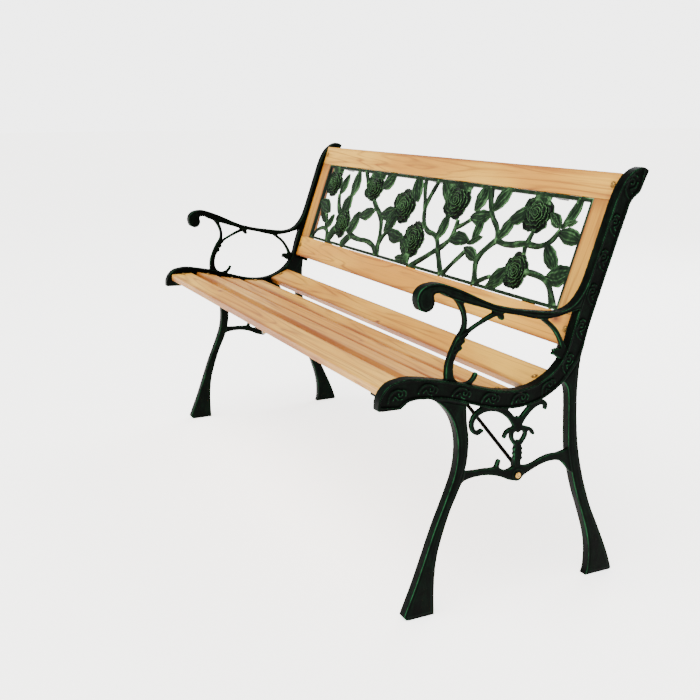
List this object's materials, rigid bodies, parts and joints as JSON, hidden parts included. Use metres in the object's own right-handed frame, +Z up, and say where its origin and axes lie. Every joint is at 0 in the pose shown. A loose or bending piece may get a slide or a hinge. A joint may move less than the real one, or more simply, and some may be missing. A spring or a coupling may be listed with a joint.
{
  "type": "garden bench",
  "caption": "Garden bench with scrolled cast iron end frames, pine seat slats and a reclined back that frames a cast openwork rose panel.",
  "frame": {"origin": "centre of the bench's plan outline, on the floor that the feet stand on", "axes": "+X along the bench's length, +Y from the front edge of the seat towards the back, +Z up"},
  "size_m": [1.22, 0.507, 0.724],
  "materials": {
    "cast_iron": "satin near-black green paint with paler green rubbed over the raised edges and relief",
    "rose_casting": "satin near-black green paint with verdigris rubbed highlights on petals and leaf edges",
    "slat_wood": "oiled pale pine with orange-brown grain and darker edges",
    "rail_wood": "oiled pale pine with straight orange-brown grain",
    "rod_iron": "satin near-black green paint",
    "brass_bolts": "dull plated brass",
    "zinc": "dull zinc plate"
  },
  "bodies": {
    "root": {"end_frame_left": "cast_iron", "end_frame_right": "cast_iron", "seat_slat_1": "slat_wood", "seat_slat_2": "slat_wood", "seat_slat_3": "slat_wood", "seat_slat_4": "slat_wood", "seat_slat_5": "slat_wood", "back_top_rail": "rail_wood", "back_bottom_rail": "rail_wood", "back_stile_left": "rail_wood", "back_stile_right": "rail_wood", "stile_dowels": "rail_wood", "rose_panel": "rose_casting", "panel_screws": "zinc", "seat_bolts": "brass_bolts", "seat_washers": "brass_bolts", "seat_nuts": "zinc", "back_bolts": "brass_bolts", "back_washers": "brass_bolts", "back_nuts": "zinc", "tie_rod_left": "rod_iron", "tie_rod_right": "rod_iron", "tie_rod_bolts": "brass_bolts", "tie_rod_nuts": "zinc", "tie_rod_screws": "zinc"}
  },
  "joints": []
}
